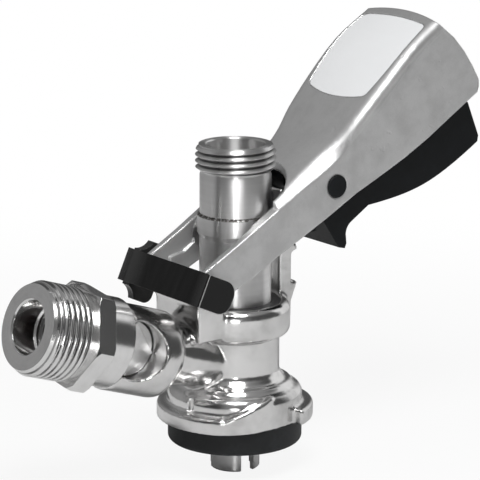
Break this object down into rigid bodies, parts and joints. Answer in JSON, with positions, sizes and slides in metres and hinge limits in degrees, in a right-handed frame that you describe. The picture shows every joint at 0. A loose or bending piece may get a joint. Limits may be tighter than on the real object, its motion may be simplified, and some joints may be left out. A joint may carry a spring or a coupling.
{
  "type": "keg coupler",
  "caption": "Lever-operated keg coupler with a bayonet base, a sliding probe with a male beer outlet, an angled hexagon gas inlet and a forked lever with a squeeze trigger.",
  "frame": {"origin": "middle of the base seal's underside, on the probe's axis", "axes": "+Z along the probe towards the beer outlet, +X towards the lever's grip, -X towards the gas inlet"},
  "size_m": [0.1556, 0.0418, 0.1276],
  "materials": {
    "plated_cast": "polished plated casting",
    "stainless": "turned stainless steel",
    "die_cast": "satin die casting",
    "black_moulding": "satin black moulding",
    "black_gloss": "semi-gloss black moulding",
    "seal_rubber": "matte black rubber",
    "label": "white, bare",
    "bush_plastic": "natural acetal",
    "valve_rubber": "red-brown silicone",
    "spring_steel": "drawn wire"
  },
  "bodies": {
    "body": {"body_casting": "plated_cast", "base_seal": "seal_rubber", "guide_bush": "bush_plastic", "rod_seal": "seal_rubber", "gas_nipple": "stainless", "nipple_gasket": "seal_rubber", "gas_check_valve": "valve_rubber", "valve_spacer": "bush_plastic", "port_plug": "plated_cast", "port_plug_seal": "seal_rubber", "hinge_clip": "black_gloss", "hinge_pin": "stainless"},
    "handle": {"lever_handle": "die_cast", "label_plate": "label", "hinge_bushes": "bush_plastic", "trigger_pin": "stainless", "pin_caps": "black_moulding", "trigger_spring": "spring_steel"},
    "trigger": {"trigger_lever": "black_moulding"},
    "probe": {"beer_outlet": "stainless", "probe_body": "stainless", "probe_pins": "stainless", "probe_tip": "stainless", "probe_seal": "seal_rubber", "ball_cage": "bush_plastic"},
    "rollers": {"slide_rollers": "bush_plastic"},
    "check_ball": {"check_ball": "bush_plastic"}
  },
  "joints": [
    {"name": "handle_hinge", "type": "hinge", "parent": "body", "child": "handle", "pos_m": [-0.019, 0, 0.04865], "axis": [0, 1, 0], "range_deg": [0, 32]},
    {"name": "probe_slide", "type": "slide", "parent": "body", "child": "probe", "axis": [0, 0, -1], "range_m": [0, 0.0117]},
    {"name": "trigger_squeeze", "type": "hinge", "parent": "handle", "child": "trigger", "pos_m": [0.0246, 0, 0.0736], "axis": [0, -1, 0], "range_deg": [0, 6], "stiffness_Nm_per_rad": 0.12, "springref_deg": -20.05, "deforming": ["trigger_spring"]},
    {"name": "ball_lift", "type": "slide", "parent": "probe", "child": "check_ball", "axis": [0, 0, 1], "range_m": [0, 0.0025]},
    {"name": "roller_spin", "type": "hinge", "parent": "probe", "child": "rollers", "pos_m": [0, 0, 0.05989], "axis": [0, 1, 0], "continuous": true}
  ],
  "couplings": [
    {"joint": "probe_slide", "follows": "handle_hinge", "m_per_rad": 0.020949}
  ]
}
